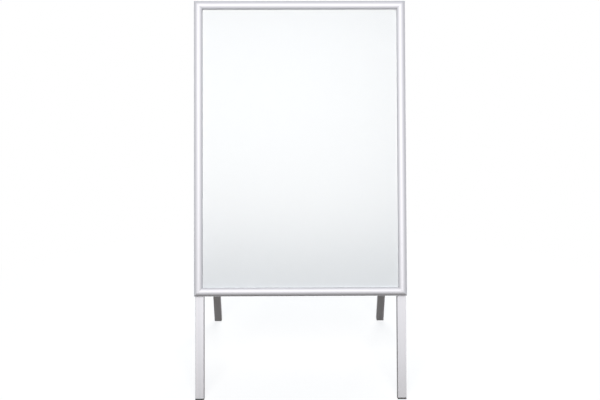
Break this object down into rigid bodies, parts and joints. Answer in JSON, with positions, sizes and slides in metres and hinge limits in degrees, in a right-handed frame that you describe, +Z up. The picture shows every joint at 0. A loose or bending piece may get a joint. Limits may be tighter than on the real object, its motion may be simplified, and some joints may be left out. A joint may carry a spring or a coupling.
{
  "type": "a-frame pavement sign",
  "caption": "Folding double-sided A-frame pavement sign with snap-open aluminium poster frames, square tube legs, top hinge, folding side stays and plastic feet.",
  "frame": {"origin": "on the ground, in the middle of the four feet", "axes": "+X across the sign, -Y towards the front leaf, +Z up"},
  "size_m": [0.624, 0.6518, 1.1385],
  "materials": {
    "anodised_aluminium": "satin anodised",
    "mill_aluminium": "mill",
    "galvanised_steel": "galvanised",
    "zinc_steel": "zinc plated",
    "white_poster": "matt",
    "clear_sheet": "anti-glare",
    "black_plastic": "moulded",
    "white_nylon": "moulded"
  },
  "bodies": {
    "front_leaf": {"front_top_rail": "anodised_aluminium", "front_right_rail": "anodised_aluminium", "front_bottom_rail": "anodised_aluminium", "front_left_rail": "anodised_aluminium", "front_back_panel": "galvanised_steel", "front_poster": "white_poster", "front_clear_sheet": "clear_sheet", "front_snap_springs": "zinc_steel", "front_corner_keys": "mill_aluminium", "front_stay_spacers": "white_nylon", "front_key_screws": "zinc_steel", "front_leg_rivets": "zinc_steel", "front_stay_rivets": "zinc_steel", "front_left_leg": "anodised_aluminium", "front_right_leg": "anodised_aluminium", "front_left_foot": "black_plastic", "front_right_foot": "black_plastic", "front_left_knuckle": "black_plastic", "front_right_knuckle": "black_plastic", "hinge_pins": "zinc_steel", "hinge_push_nuts": "zinc_steel"},
    "rear_leaf": {"rear_top_rail": "anodised_aluminium", "rear_right_rail": "anodised_aluminium", "rear_bottom_rail": "anodised_aluminium", "rear_left_rail": "anodised_aluminium", "rear_back_panel": "galvanised_steel", "rear_poster": "white_poster", "rear_clear_sheet": "clear_sheet", "rear_snap_springs": "zinc_steel", "rear_corner_keys": "mill_aluminium", "rear_stay_spacers": "white_nylon", "rear_key_screws": "zinc_steel", "rear_leg_rivets": "zinc_steel", "rear_stay_rivets": "zinc_steel", "rear_left_leg": "anodised_aluminium", "rear_right_leg": "anodised_aluminium", "rear_left_foot": "black_plastic", "rear_right_foot": "black_plastic", "rear_left_knuckle": "black_plastic", "rear_right_knuckle": "black_plastic"},
    "left_front_link": {"left_front_link": "zinc_steel", "left_front_link_rivet": "zinc_steel"},
    "right_front_link": {"right_front_link": "zinc_steel", "right_front_link_rivet": "zinc_steel"},
    "right_rear_link": {"right_rear_link": "zinc_steel", "right_rear_link_rivet": "zinc_steel"},
    "left_rear_link": {"left_rear_link": "zinc_steel", "left_rear_link_rivet": "zinc_steel"},
    "front_top_cover": {"front_top_cover": "anodised_aluminium"},
    "front_right_cover": {"front_right_cover": "anodised_aluminium"},
    "front_bottom_cover": {"front_bottom_cover": "anodised_aluminium"},
    "front_left_cover": {"front_left_cover": "anodised_aluminium"},
    "rear_top_cover": {"rear_top_cover": "anodised_aluminium"},
    "rear_left_cover": {"rear_left_cover": "anodised_aluminium"},
    "rear_bottom_cover": {"rear_bottom_cover": "anodised_aluminium"},
    "rear_right_cover": {"rear_right_cover": "anodised_aluminium"}
  },
  "joints": [
    {"name": "fold", "type": "hinge", "parent": "front_leaf", "child": "rear_leaf", "pos_m": [0, 0, 1.11956], "axis": [-1, 0, 0], "range_deg": [0, 30]},
    {"name": "left_front_link_pivot", "type": "hinge", "parent": "front_leaf", "child": "left_front_link", "pos_m": [-0.284, -0.13727, 0.65941], "axis": [1, 0, 0], "range_deg": [0, 69.37]},
    {"name": "right_front_link_pivot", "type": "hinge", "parent": "front_leaf", "child": "right_front_link", "pos_m": [0.284, -0.13727, 0.65941], "axis": [1, 0, 0], "range_deg": [0, 69.37]},
    {"name": "right_rear_link_pivot", "type": "hinge", "parent": "rear_leaf", "child": "right_rear_link", "pos_m": [0.284, 0.13727, 0.65941], "axis": [-1, 0, 0], "range_deg": [0, 69.37]},
    {"name": "left_rear_link_pivot", "type": "hinge", "parent": "rear_leaf", "child": "left_rear_link", "pos_m": [-0.284, 0.13727, 0.65941], "axis": [-1, 0, 0], "range_deg": [0, 69.37]},
    {"name": "front_top_cover_hinge", "type": "hinge", "parent": "front_leaf", "child": "front_top_cover", "pos_m": [0, -0.02991, 1.13544], "axis": [-1, 0, 0], "range_deg": [0, 80]},
    {"name": "front_right_cover_hinge", "type": "hinge", "parent": "front_leaf", "child": "front_right_cover", "pos_m": [0.3086, -0.14174, 0.71806], "axis": [0, 0.2588, 0.9659], "range_deg": [0, 80]},
    {"name": "front_bottom_cover_hinge", "type": "hinge", "parent": "front_leaf", "child": "front_bottom_cover", "pos_m": [0, -0.25358, 0.30069], "axis": [1, 0, 0], "range_deg": [0, 80]},
    {"name": "front_left_cover_hinge", "type": "hinge", "parent": "front_leaf", "child": "front_left_cover", "pos_m": [-0.3086, -0.14174, 0.71806], "axis": [0, -0.2588, -0.9659], "range_deg": [0, 80]},
    {"name": "rear_top_cover_hinge", "type": "hinge", "parent": "rear_leaf", "child": "rear_top_cover", "pos_m": [0, 0.02991, 1.13544], "axis": [1, 0, 0], "range_deg": [0, 80]},
    {"name": "rear_left_cover_hinge", "type": "hinge", "parent": "rear_leaf", "child": "rear_left_cover", "pos_m": [-0.3086, 0.14174, 0.71806], "axis": [0, -0.2588, 0.9659], "range_deg": [0, 80]},
    {"name": "rear_bottom_cover_hinge", "type": "hinge", "parent": "rear_leaf", "child": "rear_bottom_cover", "pos_m": [0, 0.25358, 0.30069], "axis": [-1, 0, 0], "range_deg": [0, 80]},
    {"name": "rear_right_cover_hinge", "type": "hinge", "parent": "rear_leaf", "child": "rear_right_cover", "pos_m": [0.3086, 0.14174, 0.71806], "axis": [0, 0.2588, -0.9659], "range_deg": [0, 80]}
  ],
  "couplings": [
    {"joint": "left_front_link_pivot", "follows": "fold", "ratio": 2.3119},
    {"joint": "right_front_link_pivot", "follows": "fold", "ratio": 2.3119},
    {"joint": "right_rear_link_pivot", "follows": "fold", "ratio": 2.3119},
    {"joint": "left_rear_link_pivot", "follows": "fold", "ratio": 2.3119}
  ]
}
